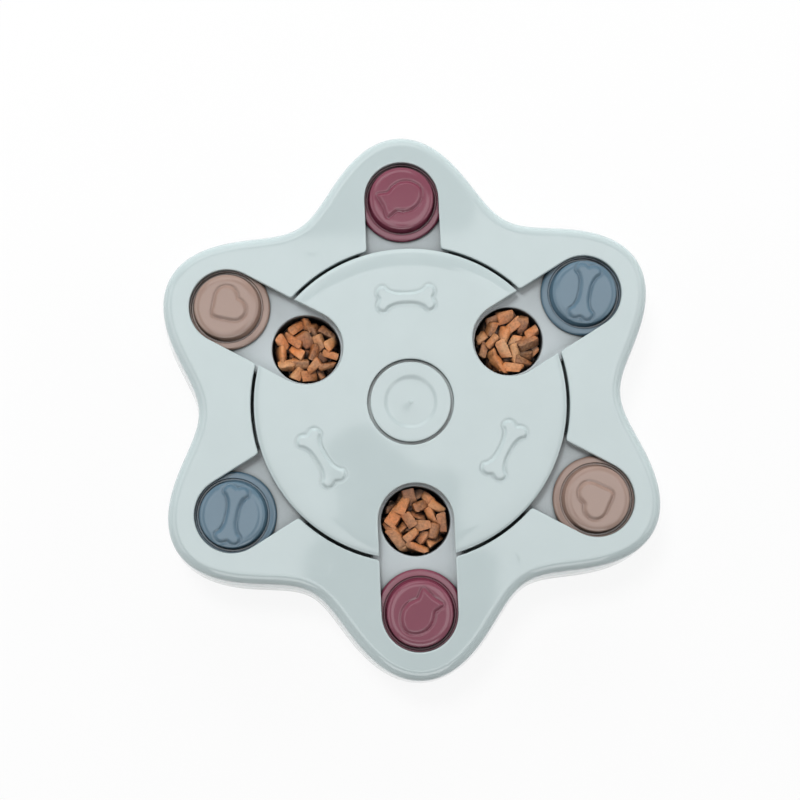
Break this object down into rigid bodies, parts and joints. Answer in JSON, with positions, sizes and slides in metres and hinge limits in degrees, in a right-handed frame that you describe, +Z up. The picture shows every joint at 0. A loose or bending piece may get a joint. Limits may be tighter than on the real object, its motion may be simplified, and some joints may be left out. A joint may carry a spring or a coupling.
{
  "type": "dog puzzle feeder",
  "caption": "Flat lobed treat puzzle: a turning notched disc and round sliding knobs cover and uncover moulded treat cups.",
  "frame": {"origin": "middle of the footprint, on the plane that the six feet stand on, which is also on the turntable's axis", "axes": "+Z up along the turntable's axis; one lobe points along +Y (the rear) and one along -Y (the front)"},
  "size_m": [0.2242, 0.25, 0.0305],
  "materials": {
    "shell_plastic": "pale mint grey moulded plastic, glossy",
    "fish_plastic": "dusty maroon moulded plastic, satin",
    "bone_plastic": "slate blue moulded plastic, satin",
    "heart_plastic": "warm taupe moulded plastic, satin",
    "rubber": "matt soft rubber",
    "steel": "zinc plated"
  },
  "bodies": {
    "housing": {"base_tray": "shell_plastic", "top_cover": "shell_plastic", "hub_cap": "shell_plastic", "hub_screw": "steel", "hub_washer": "steel", "foot_1": "rubber", "foot_2": "rubber", "foot_3": "rubber", "foot_4": "rubber", "foot_5": "rubber", "foot_6": "rubber", "cover_screw_1": "steel", "cover_screw_2": "steel", "cover_screw_3": "steel", "cover_screw_4": "steel", "cover_screw_5": "steel", "cover_screw_6": "steel"},
    "turntable": {"turntable": "shell_plastic"},
    "slider_fish_rear": {"slider_fish_rear": "fish_plastic"},
    "slider_heart_rear_left": {"slider_heart_rear_left": "heart_plastic"},
    "slider_bone_front_left": {"slider_bone_front_left": "bone_plastic"},
    "slider_fish_front": {"slider_fish_front": "fish_plastic"},
    "slider_heart_front_right": {"slider_heart_front_right": "heart_plastic"},
    "slider_bone_rear_right": {"slider_bone_rear_right": "bone_plastic"}
  },
  "joints": [
    {"name": "turntable_spin", "type": "hinge", "parent": "housing", "child": "turntable", "pos_m": [0, 0, 0.0258], "axis": [0, 0, 1], "range_deg": [-180, 360]},
    {"name": "slider_fish_rear_travel", "type": "slide", "parent": "housing", "child": "slider_fish_rear", "axis": [0, -1, 0], "range_m": [0, 0.0075]},
    {"name": "slider_heart_rear_left_travel", "type": "slide", "parent": "housing", "child": "slider_heart_rear_left", "axis": [0.866, -0.5, 0], "range_m": [0, 0.04]},
    {"name": "slider_bone_front_left_travel", "type": "slide", "parent": "housing", "child": "slider_bone_front_left", "axis": [0.866, 0.5, 0], "range_m": [0, 0.0075]},
    {"name": "slider_fish_front_travel", "type": "slide", "parent": "housing", "child": "slider_fish_front", "axis": [0, 1, 0], "range_m": [0, 0.04]},
    {"name": "slider_heart_front_right_travel", "type": "slide", "parent": "housing", "child": "slider_heart_front_right", "axis": [-0.866, 0.5, 0], "range_m": [0, 0.0075]},
    {"name": "slider_bone_rear_right_travel", "type": "slide", "parent": "housing", "child": "slider_bone_rear_right", "axis": [-0.866, -0.5, 0], "range_m": [0, 0.04]}
  ]
}
